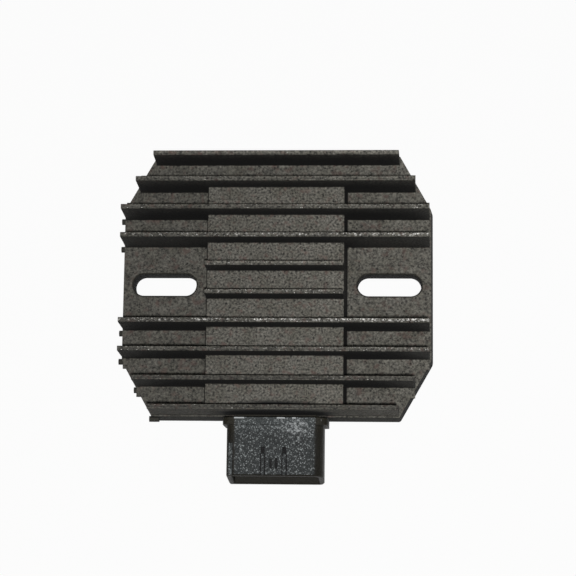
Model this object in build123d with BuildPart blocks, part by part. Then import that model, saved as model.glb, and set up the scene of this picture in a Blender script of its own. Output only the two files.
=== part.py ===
from build123d import *
import os
from math import radians, tan

# Voltage regulator rectifier, lying on its mounting face.
# Origin: middle between the two mounting slots, on the mounting face.
# +Z points up through the fins, and the connector looks towards -Y. Millimetres.

# Plate
plate_width = 100.0
plate_thickness = 8.0
plate_draft = 5.0
plate_end_ledge = 0.5
side_corner_y = 25.0
corner_cut_angle = 29.5
side_corner_radius = 3.0
end_corner_radius = 1.0

# Mounting slots, between the raised block and the plate's edges
slot_edge_margin = 3.1
slot_block_margin = 3.3
slot_width = 7.1
slot_chamfer = 0.5

# Fins, counted from the top end to the connector end
fin_count = 10
fin_pitch = 9.13
fin_row_middle = -0.1
fin_height = 16.3
first_fin_height = 13.3
fin_foot = 2.4
fin_tip = 1.5
fin_tip_radius = 0.45
fin_foot_radius = 0.7
fin_end_draft = 1.6
fin_inset_left = 0.35
fin_inset_right = 0.5
fin_root_depth = 1.0
slot_fins = (5, 6)

# Raised block between the wings
block_height = 7.4
block_top_width = 43.9
block_side_draft = 7.3

# Trimmed stubs of the casting runners, on the left edge
stub_fins = (3, 4, 7, 8, 9, 10)
stub_pitch = 9.26
stub_shift = 1.8
stub_diameter = 1.9
stub_length = 1.3
stub_height = 5.8

# Cavity in the back
roof_thickness = 5.5
cavity_width = 38.0
cavity_draft = 1.0
cavity_corner_radius = 3.0
cavity_end_wall = 3.8
cavity_top_margin = 3.3
resin_recess = 0.8

# Power devices on the cavity roof
sheet_thickness = 0.3
sheet_margin = 0.5
device_columns = 3
device_pitch = 12.0
device_row_pitch = 20.3
device_end_gap = 2.0
device_width = 10.2
device_body_length = 9.2
device_tab_length = 6.3
device_thickness = 4.4
tab_thickness = 1.3
tab_hole_diameter = 3.6
tab_hole_inset = 2.8
leg_pitch = 2.54
leg_width = 0.8
leg_thickness = 0.5
leg_reach = 2.2
leg_level = 2.4
body_chamfer = 0.5

# Screws that hold the devices
screw_diameter = 3.0
screw_clearance = 0.1
screw_reach = 2.2
screw_head_diameter = 5.5
screw_head_height = 1.8
hidden_round_sides = 12

# Circuit board
board_width = 35.0
board_thickness = 1.6
board_gap = 0.8
board_end_gap = 1.5

# Connector
connector_x = 0.45
shroud_width = 30.8
shroud_height = 15.0
shroud_length = 16.1
shroud_wall = 1.7
mouth_rake = 2.0
socket_depth = 15.0
keyed_corner_radius = 3.5
foot_corner_radius = 2.0
plain_corner_radius = 0.9
inner_corner_radius = 0.4
flange_lip = 1.35
flange_rise = 0.3
flange_corner_radius = 1.2
mouth_chamfer = 0.4
flange_thickness = 2.3
flange_gap = 0.1
notch_width = 26.0
notch_roof = 0.7
stem_clearance = 0.15
inner_flange_width = 31.0
inner_flange_thickness = 1.5

# Raised details of the shroud
lock_x = 0.1
guide_rib_spacing = 6.8
guide_rib_width = 1.0
guide_rib_length = 6.8
rib_rise = 0.3
rib_mouth_gap = 0.2
core_hole_width = 1.2
core_hole_length = 2.1
core_hole_depth = 1.2
edge_rib_width = 1.25
edge_rib_length = 10.0
edge_rib_inset = 0.8
ramp_width = 2.4
ramp_length = 3.5
ramp_rise = 0.9
ramp_mouth_gap = 1.8

# Blade terminals
blade_width = 6.3
blade_thickness = 0.8
blade_side_gap = 1.75
blade_row_pitch = 6.1
blade_tail_pitch = 2.8
blade_mouth_gap = 2.3
blade_point = 1.0
tail_width = 3.0
jog_depth = 3.0
lower_tail_reach = 3.0
upper_tail_reach = 6.0

# Small parts on the board
capacitor_diameter = 5.0
capacitor_length = 11.0
capacitor_rim = 0.4
transistor_width = 4.6
transistor_height = 3.9
transistor_flat = 1.2
transistor_leg = 0.8
transistor_leg_pitch = 1.27
lead_thickness = 0.6
lead_overhang = 1.2
gate_resistor_diameter = 2.4
gate_resistor_length = 6.5
gate_resistor_pitch = 11.5
sense_resistor_diameter = 3.4
sense_resistor_length = 9.0
zener_diameter = 2.7
zener_length = 5.0
body_lift = 0.3
first_row_gap = 10.3
parts_row_pitch = 4.7
first_row_spread = 10.0


def fin_y(number):
    """Middle line of a fin, counted from 1 at the top end."""
    return fin_row_middle + fin_pitch * ((fin_count + 1) / 2 - number)


wing_z = plate_thickness
tip_z = wing_z + fin_height
first_tip_z = wing_z + first_fin_height
block_z = wing_z + block_height
roof_z = block_z - roof_thickness
fin_row_top_y = fin_y(1) + fin_foot / 2
fin_row_bottom_y = fin_y(fin_count) - fin_foot / 2
plate_top_y = fin_row_top_y + plate_end_ledge
plate_bottom_y = fin_row_bottom_y - plate_end_ledge
foot_growth = plate_thickness * tan(radians(plate_draft))
cut_slope = tan(radians(corner_cut_angle))
block_foot_width = block_top_width + 2 * block_height * tan(radians(block_side_draft))
slot_start_x = block_foot_width / 2 + slot_block_margin
slot_end_x = plate_width / 2 - slot_edge_margin
slot_length = slot_end_x - slot_start_x
slot_spacing = slot_start_x + slot_end_x
cavity_top_y = fin_y(2) - cavity_top_margin
cavity_bottom_y = plate_bottom_y + cavity_end_wall
cavity_length = cavity_top_y - cavity_bottom_y
cavity_middle_y = (cavity_top_y + cavity_bottom_y) / 2


def half_width_at(y, half_width):
    """Half width of the octagonal outline at one height."""
    return half_width - max(0.0, abs(y) - side_corner_y) * cut_slope


def outline_points(half_width, top_y, bottom_y):
    """Corners of the octagonal outline, anticlockwise from the upper right."""
    right = [
        (half_width_at(bottom_y, half_width), bottom_y),
        (half_width, -side_corner_y),
        (half_width, side_corner_y),
        (half_width_at(top_y, half_width), top_y),
    ]
    left = [(-x, y) for x, y in reversed(right)]
    return right + left


def fin_section(numbers, floor_z, top_y, bottom_y):
    """Section across some fins standing on a thin floor, rounded at their tips."""
    with Locations(((top_y + bottom_y) / 2, floor_z - fin_root_depth / 2)):
        Rectangle(top_y - bottom_y, fin_root_depth)
    for number in numbers:
        height = first_fin_height if number == 1 else fin_height
        with Locations((fin_y(number), wing_z)):
            Polygon(
                (-fin_foot / 2, 0),
                (fin_foot / 2, 0),
                (fin_tip / 2, height),
                (-fin_tip / 2, height),
                align=None,
            )
    tips = vertices().filter_by(lambda v: min(abs(v.Y - tip_z), abs(v.Y - first_tip_z)) < 0.01)
    fillet(tips, fin_tip_radius)


def bent_strip(points, thickness):
    """Section of a strip with square bends, along points joined by level and upright runs."""
    for (start_u, start_v), (end_u, end_v) in zip(points, points[1:]):
        with Locations(((start_u + end_u) / 2, (start_v + end_v) / 2)):
            Rectangle(abs(end_u - start_u) + thickness, abs(end_v - start_v) + thickness)


# Where the power devices sit: (column x, tab end y), one row of thyristors, one of diodes
column_x = [device_pitch * (i - (device_columns - 1) / 2) for i in range(device_columns)]
first_tab_y = cavity_top_y - device_end_gap
row_tab_y = [first_tab_y, first_tab_y - device_row_pitch]
tab_hole_places = [(x, y - tab_hole_inset) for y in row_tab_y for x in column_x]
device_length = device_body_length + device_tab_length
device_z = roof_z - sheet_thickness
board_z = device_z - device_thickness - board_gap

# Where the connector sits
lower_blade_z = board_z + blade_thickness / 2
upper_blade_z = lower_blade_z + blade_row_pitch
upper_tail_z = lower_blade_z + blade_tail_pitch
shroud_z = (lower_blade_z + upper_blade_z) / 2
notch_height = roof_z - notch_roof
flange_rear_y = plate_bottom_y - foot_growth - flange_gap
flange_front_y = flange_rear_y - flange_thickness
mouth_y = flange_front_y - shroud_length
lip_y = mouth_y - mouth_rake
socket_floor_y = lip_y + socket_depth
cavity_growth = roof_z * tan(radians(cavity_draft))
inner_flange_y = cavity_bottom_y + cavity_growth + stem_clearance
inner_flange_end_y = inner_flange_y + inner_flange_thickness
shroud_top_z = shroud_z + shroud_height / 2
shroud_foot_z = shroud_z - shroud_height / 2
board_start_y = inner_flange_end_y + board_end_gap / 2
board_end_y = cavity_top_y - board_end_gap


os.makedirs("parts", exist_ok=True)

# Space in the back of the casting, open at the mounting face
with BuildPart() as cavity:
    with BuildSketch(Plane.XY):
        with Locations((0, cavity_middle_y)):
            RectangleRounded(cavity_width, cavity_length, cavity_corner_radius)
    extrude(amount=roof_z, taper=cavity_draft)

# Heat sink: plate, block and fins in one casting
wing_fins = [n for n in range(1, fin_count + 1) if n not in slot_fins]

# Length of each wing fin: square ends, the outer corner of its foot just inside the plate's edge
with BuildPart() as fin_spans:
    for number in wing_fins:
        outer_y = abs(fin_y(number)) + fin_foot / 2
        reach = half_width_at(outer_y, plate_width / 2)
        lean = (fin_root_depth + fin_height) * tan(radians(fin_end_draft))
        left_x = fin_inset_left - reach
        right_x = reach - fin_inset_right
        with BuildSketch(Plane.XZ.offset(-fin_y(number) - fin_pitch / 2)):
            with BuildLine():
                Polyline(
                    (left_x, wing_z - fin_root_depth),
                    (right_x, wing_z - fin_root_depth),
                    (right_x - lean, tip_z),
                    (left_x + lean, tip_z),
                    close=True,
                )
            make_face()
        extrude(amount=fin_pitch)

with BuildPart() as fin_rows:
    with BuildSketch(Plane.YZ):
        fin_section(wing_fins, wing_z, fin_row_top_y, fin_row_bottom_y)
        feet = vertices().filter_by(lambda v: abs(v.Y - wing_z) < 0.01).sort_by(Axis.X)
        fillet(feet[1:-1], fin_foot_radius)
    extrude(amount=plate_width, both=True)
    add(fin_spans.part, mode=Mode.INTERSECT)

with BuildPart() as block_fins:
    with BuildSketch(Plane.YZ):
        fin_section(range(2, fin_count + 1), block_z, fin_y(2), fin_y(fin_count))
        feet = vertices().filter_by(lambda v: abs(v.Y - block_z) < 0.01)
        fillet(feet, fin_foot_radius)
    extrude(amount=block_top_width / 2, both=True)

with BuildPart() as heatsink_casting:
    with BuildSketch(Plane.XY) as plate_outline:
        Polygon(
            *outline_points(
                plate_width / 2 + foot_growth,
                plate_top_y + foot_growth,
                plate_bottom_y - foot_growth,
            ),
            align=None,
        )
        corners = vertices().sort_by(Axis.X)
        fillet(corners[:2] + corners[-2:], side_corner_radius)
        fillet(vertices().group_by(Axis.Y)[0] + vertices().group_by(Axis.Y)[-1], end_corner_radius)
    extrude(amount=plate_thickness, taper=plate_draft)
    with BuildSketch(Plane.XZ.offset(-fin_y(2))):
        with BuildLine():
            Polyline(
                (-block_foot_width / 2, wing_z),
                (block_foot_width / 2, wing_z),
                (block_top_width / 2, block_z),
                (-block_top_width / 2, block_z),
                close=True,
            )
        make_face()
    extrude(amount=fin_y(2) - fin_y(fin_count))
    add(fin_rows.part)
    add(block_fins.part)
    for number in stub_fins:
        stub_y = fin_row_middle - stub_shift + stub_pitch * ((fin_count + 1) / 2 - number)
        stub_x = half_width_at(stub_y, plate_width / 2) + stub_length
        with BuildSketch(Plane.YZ.offset(-stub_x)):
            with Locations((stub_y, stub_height)):
                Circle(stub_diameter / 2)
        extrude(amount=stub_length + stub_diameter)
    with BuildSketch(Plane.XY):
        with GridLocations(slot_spacing, 0, 2, 1):
            SlotOverall(slot_length, slot_width)
    extrude(amount=tip_z, mode=Mode.SUBTRACT)
    with BuildSketch(Plane.XY.offset(wing_z - slot_chamfer)):
        with GridLocations(slot_spacing, 0, 2, 1):
            SlotOverall(slot_length, slot_width)
    extrude(amount=slot_chamfer, taper=-45, mode=Mode.SUBTRACT)
    add(cavity.part, mode=Mode.SUBTRACT)
    with BuildSketch(Plane.XZ.offset(-cavity_bottom_y - cavity_draft)):
        with Locations((connector_x, notch_height / 2)):
            Rectangle(notch_width, notch_height)
    extrude(amount=cavity_end_wall + 2 * cavity_draft, mode=Mode.SUBTRACT)
    with BuildSketch(Plane.XY.offset(roof_z)):
        with Locations(*tab_hole_places):
            RegularPolygon(screw_diameter / 2 + screw_clearance, hidden_round_sides)
    extrude(amount=screw_reach + screw_clearance, mode=Mode.SUBTRACT)
heatsink_casting.part.label = "heatsink_casting"
export_step(heatsink_casting.part, "parts/heatsink_casting.step")


# Blade terminals: upper row for the stator phases, lower row for the battery side
def blade_terminal(x, route):
    """Flat strip bent along a route of (y, z) points, wide in the socket, narrow at its tail."""
    tail_start_y = socket_floor_y + jog_depth + blade_thickness
    with BuildPart() as blade:
        with BuildSketch(Plane.YZ.offset(x)):
            bent_strip(route, blade_thickness)
        extrude(amount=blade_width / 2, both=True)
        with BuildSketch(Plane.XY):
            tip_y = route[0][0]
            right = [
                (blade_width / 2 - blade_point, tip_y),
                (blade_width / 2, tip_y + blade_point),
                (blade_width / 2, tail_start_y),
                (tail_width / 2, tail_start_y),
                (tail_width / 2, cavity_top_y),
            ]
            left = [(-px, py) for px, py in reversed(right)]
            with Locations((x, 0)):
                Polygon(*right, *left, align=None)
        extrude(amount=tip_z, mode=Mode.INTERSECT)
    return blade.part


blade_pitch = (shroud_width - 2 * shroud_wall - 2 * blade_side_gap - blade_width) / 2
blade_x = [connector_x + blade_pitch * (i - 1) for i in range(3)]
blade_tip_y = mouth_y + blade_mouth_gap
jog_y = socket_floor_y + jog_depth
lower_route = [(blade_tip_y, lower_blade_z), (board_start_y + lower_tail_reach, lower_blade_z)]
upper_route = [
    (blade_tip_y, upper_blade_z),
    (jog_y, upper_blade_z),
    (jog_y, upper_tail_z),
    (board_start_y + upper_tail_reach, upper_tail_z),
    (board_start_y + upper_tail_reach, board_z + blade_thickness / 2),
]
terminals = {}
for column, name in enumerate(["phase_1", "phase_2", "phase_3"]):
    terminals["terminal_" + name] = blade_terminal(blade_x[column], upper_route)
for column, name in enumerate(["battery", "sense", "ground"]):
    terminals["terminal_" + name] = blade_terminal(blade_x[column], lower_route)
for name, blade in terminals.items():
    blade.label = name
    export_step(blade, f"parts/{name}.step")


# Connector housing, moulded round the terminals
def shroud_outline(inset):
    """Shroud section in the XZ plane, with one large corner that keys the plug."""
    with Locations((connector_x, shroud_z)):
        Rectangle(shroud_width - 2 * inset, shroud_height - 2 * inset)
    corner_radii = [
        (lambda v: v.X + v.Y, keyed_corner_radius),
        (lambda v: v.X - v.Y, foot_corner_radius),
        (lambda v: -v.X + v.Y, plain_corner_radius),
        (lambda v: -v.X - v.Y, plain_corner_radius),
    ]
    for reach, radius in corner_radii:
        fillet(vertices().sort_by(reach)[-1], max(radius - inset, inner_corner_radius))


with BuildPart() as connector_housing:
    with BuildSketch(Plane.XZ.offset(-flange_front_y)):
        shroud_outline(0)
    extrude(amount=shroud_length + mouth_rake)
    with BuildSketch(Plane.XZ.offset(-flange_rear_y)):
        with Locations((connector_x, shroud_z)):
            RectangleRounded(
                shroud_width + 2 * flange_lip,
                shroud_height + 2 * flange_rise,
                flange_corner_radius,
            )
    extrude(amount=flange_thickness)
    with BuildSketch(Plane.XZ.offset(-inner_flange_y)):
        stem_foot_z = shroud_foot_z
        stem_top_z = notch_height - stem_clearance
        with Locations((connector_x, (stem_foot_z + stem_top_z) / 2)):
            Rectangle(notch_width - 2 * stem_clearance, stem_top_z - stem_foot_z)
    extrude(amount=inner_flange_y - flange_rear_y)
    with BuildSketch(Plane.XZ.offset(-inner_flange_end_y)):
        inner_foot_z = resin_recess
        inner_top_z = roof_z - stem_clearance
        with Locations((connector_x, (inner_foot_z + inner_top_z) / 2)):
            Rectangle(inner_flange_width, inner_top_z - inner_foot_z)
    extrude(amount=inner_flange_thickness)
    with BuildSketch(Plane.XZ.offset(-lip_y)):
        shroud_outline(shroud_wall)
    extrude(amount=-socket_depth, mode=Mode.SUBTRACT)
    mouth_plane = Plane(
        origin=(0, mouth_y, shroud_top_z),
        x_dir=(1, 0, 0),
        z_dir=(0, shroud_height, -mouth_rake),
    )
    split(bisect_by=mouth_plane, keep=Keep.TOP)
    chamfer(faces().sort_by(Axis.Y)[0].edges(), mouth_chamfer)
    for face_z, front_y, outward in [(shroud_top_z, mouth_y, 1), (shroud_foot_z, lip_y, -1)]:
        with BuildSketch(Plane.XY.offset(face_z - outward * rib_rise)):
            guide_rib_y = front_y + rib_mouth_gap + guide_rib_length / 2
            with Locations((lock_x, guide_rib_y)):
                with GridLocations(guide_rib_spacing, 0, 2, 1):
                    SlotOverall(guide_rib_length, guide_rib_width, rotation=90)
            edge_rib_x = connector_x - shroud_width / 2 + edge_rib_inset + edge_rib_width / 2
            with Locations((edge_rib_x, front_y + rib_mouth_gap + edge_rib_length / 2)):
                Rectangle(edge_rib_width, edge_rib_length)
        extrude(amount=outward * 2 * rib_rise)
    with BuildSketch(Plane.XY.offset(shroud_top_z + rib_rise)):
        core_hole_y = mouth_y + rib_mouth_gap + guide_rib_length + core_hole_length / 2
        with Locations((lock_x, core_hole_y)):
            with GridLocations(guide_rib_spacing, 0, 2, 1):
                Rectangle(core_hole_width, core_hole_length)
    extrude(amount=-core_hole_depth - rib_rise, mode=Mode.SUBTRACT)
    with BuildSketch(Plane.YZ.offset(lock_x)):
        ramp_low_y = mouth_y + ramp_mouth_gap
        Polygon(
            (ramp_low_y, shroud_top_z - rib_rise),
            (ramp_low_y + ramp_length, shroud_top_z - rib_rise),
            (ramp_low_y + ramp_length, shroud_top_z + ramp_rise),
            (ramp_low_y, shroud_top_z),
            align=None,
        )
    extrude(amount=ramp_width / 2, both=True)
    for blade in terminals.values():
        add(blade, mode=Mode.SUBTRACT)
connector_housing.part.label = "connector_housing"
export_step(connector_housing.part, "parts/connector_housing.step")


# Insulating sheet between the devices and the cavity roof
with BuildPart() as insulating_sheet:
    sheet_top_y = row_tab_y[0] + sheet_margin
    sheet_foot_y = row_tab_y[-1] - device_length - sheet_margin
    sheet_width = device_pitch * (device_columns - 1) + device_width + 2 * sheet_margin
    with BuildSketch(Plane.XY.offset(device_z)):
        with Locations((0, (sheet_top_y + sheet_foot_y) / 2)):
            Rectangle(sheet_width, sheet_top_y - sheet_foot_y)
        with Locations(*tab_hole_places):
            RegularPolygon(tab_hole_diameter / 2, hidden_round_sides, mode=Mode.SUBTRACT)
    extrude(amount=sheet_thickness)
insulating_sheet.part.label = "insulating_sheet"
export_step(insulating_sheet.part, "parts/insulating_sheet.step")


# Power devices: three thyristors with three legs, three diodes with two
def power_device(x, tab_y, leg_places):
    """Tab package lying on the sheet, its legs bent to the board."""
    body_middle_y = tab_y - device_tab_length - device_body_length / 2
    body_end_y = tab_y - device_length
    with BuildPart() as device:
        with BuildSketch(Plane.XY.offset(device_z - tab_thickness)):
            with Locations((x, tab_y - device_length / 2)):
                Rectangle(device_width, device_length)
            with Locations((x, tab_y - tab_hole_inset)):
                RegularPolygon(tab_hole_diameter / 2, hidden_round_sides, mode=Mode.SUBTRACT)
        extrude(amount=tab_thickness)
        with BuildSketch(Plane.XY.offset(device_z - device_thickness)):
            with Locations((x, body_middle_y)):
                Rectangle(device_width, device_body_length)
        extrude(amount=device_thickness)
        chamfer(faces().sort_by(Axis.Z)[0].edges(), body_chamfer)
        leg_y = body_end_y - leg_reach
        leg_z = device_z - leg_level
        leg_route = [(body_end_y, leg_z), (leg_y, leg_z), (leg_y, board_z + leg_thickness / 2)]
        for place in leg_places:
            with BuildSketch(Plane.YZ.offset(x + place)):
                bent_strip(leg_route, leg_thickness)
            extrude(amount=leg_width / 2, both=True)
    return device.part


devices = {}
for column, x in enumerate(column_x):
    legs = [-leg_pitch, 0, leg_pitch]
    devices[f"thyristor_{column + 1}"] = power_device(x, row_tab_y[0], legs)
    devices[f"diode_{column + 1}"] = power_device(x, row_tab_y[1], [-leg_pitch, leg_pitch])
for name, device in devices.items():
    device.label = name
    export_step(device, f"parts/{name}.step")


# Six hexagon-head screws that clamp the tabs to the cavity roof
with BuildPart() as device_screws:
    head_z = device_z - tab_thickness
    with BuildSketch(Plane.XY.offset(head_z)):
        with Locations(*tab_hole_places):
            RegularPolygon(screw_diameter / 2, hidden_round_sides)
    extrude(amount=roof_z + screw_reach - head_z)
    with BuildSketch(Plane.XY.offset(head_z)):
        with Locations(*tab_hole_places):
            RegularPolygon(screw_head_diameter / 2, 6)
    extrude(amount=-screw_head_height)
device_screws.part.label = "device_screws"
export_step(device_screws.part, "parts/device_screws.step")


# Circuit board
with BuildPart() as circuit_board:
    with BuildSketch(Plane.XY.offset(board_z - board_thickness)):
        with Locations((0, (board_start_y + board_end_y) / 2)):
            Rectangle(board_width, board_end_y - board_start_y)
    extrude(amount=board_thickness)
circuit_board.part.label = "circuit_board"
export_step(circuit_board.part, "parts/circuit_board.step")


# Small parts on the board
first_row_y = board_start_y + first_row_gap
second_row_y = first_row_y + parts_row_pitch
third_row_y = second_row_y + parts_row_pitch

with BuildPart() as reservoir_capacitor:
    with BuildSketch(Plane.YZ.offset(-first_row_spread - capacitor_length / 2)):
        with Locations((first_row_y, board_z + capacitor_diameter / 2)):
            Circle(capacitor_diameter / 2)
    extrude(amount=capacitor_length)
    chamfer(edges().filter_by(GeomType.CIRCLE), capacitor_rim)
reservoir_capacitor.part.label = "reservoir_capacitor"
export_step(reservoir_capacitor.part, "parts/reservoir_capacitor.step")

with BuildPart() as control_transistor:
    with BuildSketch(Plane.XY.offset(board_z + transistor_leg)):
        with Locations((0, first_row_y)):
            Circle(transistor_width / 2)
        with Locations((0, first_row_y - transistor_width / 2)):
            Rectangle(transistor_width, 2 * transistor_flat, mode=Mode.SUBTRACT)
    extrude(amount=transistor_height)
    with BuildSketch(Plane.XY.offset(board_z)):
        with Locations((0, first_row_y)):
            with GridLocations(transistor_leg_pitch, 0, 3, 1):
                Rectangle(leg_thickness, leg_thickness)
    extrude(amount=transistor_leg)
control_transistor.part.label = "control_transistor"
export_step(control_transistor.part, "parts/control_transistor.step")


def axial_part(x, y, diameter, length):
    """Body lying along X, one wire lead through it, bent down to the board at each end."""
    body_z = board_z + body_lift + diameter / 2
    lead_x = length / 2 + lead_overhang
    lead_foot_z = board_z + lead_thickness / 2
    lead_route = [
        (x - lead_x, lead_foot_z),
        (x - lead_x, body_z),
        (x + lead_x, body_z),
        (x + lead_x, lead_foot_z),
    ]
    with BuildPart() as axial:
        with BuildSketch(Plane.YZ.offset(x - length / 2)):
            with Locations((y, body_z)):
                RegularPolygon(diameter / 2, hidden_round_sides)
        extrude(amount=length)
        with BuildSketch(Plane.XZ.offset(-y)):
            bent_strip(lead_route, lead_thickness)
        extrude(amount=lead_thickness / 2, both=True)
    return axial.part


with BuildPart() as gate_resistors:
    for place in (-gate_resistor_pitch, 0, gate_resistor_pitch):
        add(axial_part(place, third_row_y, gate_resistor_diameter, gate_resistor_length))
gate_resistors.part.label = "gate_resistors"
export_step(gate_resistors.part, "parts/gate_resistors.step")

with BuildPart() as sense_resistor:
    add(axial_part(0, second_row_y, sense_resistor_diameter, sense_resistor_length))
sense_resistor.part.label = "sense_resistor"
export_step(sense_resistor.part, "parts/sense_resistor.step")

with BuildPart() as zener_diode:
    add(axial_part(first_row_spread, first_row_y, zener_diameter, zener_length))
zener_diode.part.label = "zener_diode"
export_step(zener_diode.part, "parts/zener_diode.step")


# Resin that fills the cavity round everything in it
with BuildPart() as potting_resin:
    add(cavity.part)
    split(bisect_by=Plane.XY.offset(resin_recess), keep=Keep.TOP)
    potted = [
        connector_housing.part,
        insulating_sheet.part,
        device_screws.part,
        circuit_board.part,
        reservoir_capacitor.part,
        control_transistor.part,
        gate_resistors.part,
        sense_resistor.part,
        zener_diode.part,
    ]
    for piece in potted + list(terminals.values()) + list(devices.values()):
        add(piece, mode=Mode.SUBTRACT)
    with BuildSketch(Plane.XY.offset(head_z)):
        with Locations(*tab_hole_places):
            RegularPolygon(tab_hole_diameter / 2, hidden_round_sides)
    extrude(amount=roof_z - head_z, mode=Mode.SUBTRACT)
potting_resin.part.label = "potting_resin"
export_step(potting_resin.part, "parts/potting_resin.step")
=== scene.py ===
"""Dresses the voltage regulator rectifier: materials, worn metal, resin bubbles and a studio.

Every length is in metres in Blender. The names with _MM are in millimetres, as on a drawing.
"""

import math
from functools import partial

import bmesh
import bpy
from mathutils import Matrix, Vector


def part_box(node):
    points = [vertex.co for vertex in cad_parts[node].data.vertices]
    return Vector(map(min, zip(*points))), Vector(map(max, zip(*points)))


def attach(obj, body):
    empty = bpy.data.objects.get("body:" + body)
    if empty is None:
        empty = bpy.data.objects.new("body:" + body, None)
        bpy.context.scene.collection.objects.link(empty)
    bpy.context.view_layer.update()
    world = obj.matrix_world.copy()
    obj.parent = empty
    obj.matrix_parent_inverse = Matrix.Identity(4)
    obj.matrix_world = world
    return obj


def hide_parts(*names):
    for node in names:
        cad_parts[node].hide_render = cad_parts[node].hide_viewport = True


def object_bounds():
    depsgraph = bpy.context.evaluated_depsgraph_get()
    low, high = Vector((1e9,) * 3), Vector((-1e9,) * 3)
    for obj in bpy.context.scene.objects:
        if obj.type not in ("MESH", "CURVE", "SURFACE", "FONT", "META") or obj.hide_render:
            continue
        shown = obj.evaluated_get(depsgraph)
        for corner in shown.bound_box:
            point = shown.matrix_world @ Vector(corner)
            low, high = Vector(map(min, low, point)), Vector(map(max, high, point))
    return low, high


bl_info = {
    "name": "Voltage Regulator Rectifier",
    "version": (1, 0, 0),
    "blender": (4, 5, 0),
    "location": "View3D > Sidebar > Regulator",
    "description": "Finishes a finned regulator casting, its plug socket and its potted back",
    "category": "Object",
}

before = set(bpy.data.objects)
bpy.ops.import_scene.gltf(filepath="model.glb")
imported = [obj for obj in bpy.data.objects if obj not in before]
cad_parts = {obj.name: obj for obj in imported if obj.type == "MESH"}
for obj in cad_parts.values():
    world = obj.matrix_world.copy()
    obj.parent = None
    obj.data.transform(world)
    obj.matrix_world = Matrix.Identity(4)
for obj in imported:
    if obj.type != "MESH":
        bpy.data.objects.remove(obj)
CAD_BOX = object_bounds()

MM = 0.001
CASTING_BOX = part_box("heatsink_casting")
HOUSING_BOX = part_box("connector_housing")
RESIN_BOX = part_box("potting_resin")

# The row of fins, as in the part: the first one, over the far end, is lower than the rest.
FIN_COUNT = 10
FIN_PITCH_MM = 9.13
FIN_ROW_MIDDLE_MM = -0.1
FIN_TIP_RADIUS_MM = 0.45
FIN_TIP_WIDTH_MM = 1.5
TIP_HEIGHT = CASTING_BOX[1][2]
FIRST_TIP_DROP_MM = 3.0
PLATE_TOP_MM = 8.0
# Where the wall over the plug socket stands, and the reach of its painted shadow along each axis.
PLATE_EDGE_MM = -42.0
SHADOW_REACH_MM = (19.0, 4.0, 7.0)
# Where each fin tip ends, left and right of the middle.
FIN_ENDS_MM = (
    (-38.0, 37.5), (-43.0, 42.4), (-47.6, 46.6), (-47.6, 46.6), (-21.2, 21.2),
    (-21.2, 21.2), (-47.6, 46.6), (-47.6, 46.6), (-43.2, 42.4), (-38.0, 37.5),
)
# The plug socket, as in the part.
SHROUD_LEFT_MM, SHROUD_RIGHT_MM, SHROUD_TOP_MM = -14.95, 15.85, 15.35
FLANGE_REAR_MM, FLANGE_FRONT_MM = -43.685, -45.985
FLANGE_LIP_MM, FLANGE_RISE_MM = 1.35, 0.3
RIB_RISE_MM = 0.3
# The two guide ribs run from the core holes to the mouth.
CORE_HOLE_NEAR_MM = -55.085
GUIDE_RIBS_MM, GUIDE_RIB_WIDTH_MM, GUIDE_RIB_END_MM = (-3.3, 3.5), 1.0, -61.885
LOCK_RAMP_MIDDLE_MM, LOCK_RAMP_HALF_MM = 0.1, 1.2
# The light painted on the shroud's top fades out between these distances from its middle,
# and a painted sheen brightens the top from here up to the flange.
LIT_FILM_EDGE_MM = (12.3, 13.1)
SHEEN_START_MM = -49.5
# Middle of the rubbed patch on the shroud, and its reach along each axis.
SCUFF_PLACE_MM, SCUFF_REACH_MM = (7.3, -47.0, 0.0), (9.0, 5.5, math.inf)
# Where the highlights painted on the flange's edge start and end, after the shroud's left side.
EDGE_HIGHLIGHTS_MM = (-14.95, -12.6, -9.4, 1.0, 3.5, 5.8, 7.0)
# Left, near, right and far side of the rib on the rounded corner.
EDGE_RIB_MM = (-14.15, -61.885, -12.9, -51.885)
# How much of each fin tip is rubbed bare, from the far fin to the one over the plug socket.
FIN_WEAR = (0.30, 0.20, 0.36, 0.80, 0.50, 0.60, 1.00, 0.50, 0.20, 0.20)
# The near edge of a tip is less worn than its far edge, by this share.
NEAR_SIDE_WEAR = 0.35
# A nick lies where the tip's edge has turned by so much from the top, and a little lower, so
# that it stays inside the part's own height.
NICK_TURN_DEGREES = 22
NICK_SINK_MM = 0.002
NICK_THICKNESS_MM = 0.045
# How much paler or darker the coat on each tip is than elsewhere.
FIN_TONE = (1.12, 0.8, 0.76, 0.8, 1.05, 0.92, 0.66, 0.7, 0.5, 0.5)

# The stage, in metres. The table top lies a hair below the part, and the camera sees it as this
# share of white.
TABLE_HALF = 1.5
FLOOR_GAP_MM = 0.05
FLOOR_WHITE = 0.94
LAMP_PLACE = (0.06, -0.142, 0.72)
LAMP_SIZE = 0.035
# The camera was fitted to the edges of the fins in the photograph.
CAMERA_PLACE = (0.036662, -0.096746, 0.582905)
CAMERA_FORWARD = (-0.05652425, 0.16406885, -0.98482812)
CAMERA_UP = (-0.00228038, 0.98638137, 0.1644585)

# The Mix and Random Value nodes have a set of sockets for each kind of value: these are the
# ones for two colours and for two numbers.
MIX_A, MIX_B = 6, 7
LOW, HIGH = 2, 3
# For a Map Range node whose result falls where its value rises.
FALLING = {"To Min": 1.0, "To Max": 0.0}


def linear(code):
    """Turns an sRGB hex colour into the linear colour that Blender's shaders take."""
    parts = [int(code[i:i + 2], 16) / 255 for i in (1, 3, 5)]
    parts = [c / 12.92 if c <= 0.04045 else ((c + 0.055) / 1.055) ** 2.4 for c in parts]
    return (*parts, 1.0)


def per_mm(size):
    """The texture scale that draws one feature every size millimetres."""
    return 1.0 / (size * MM)


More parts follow.
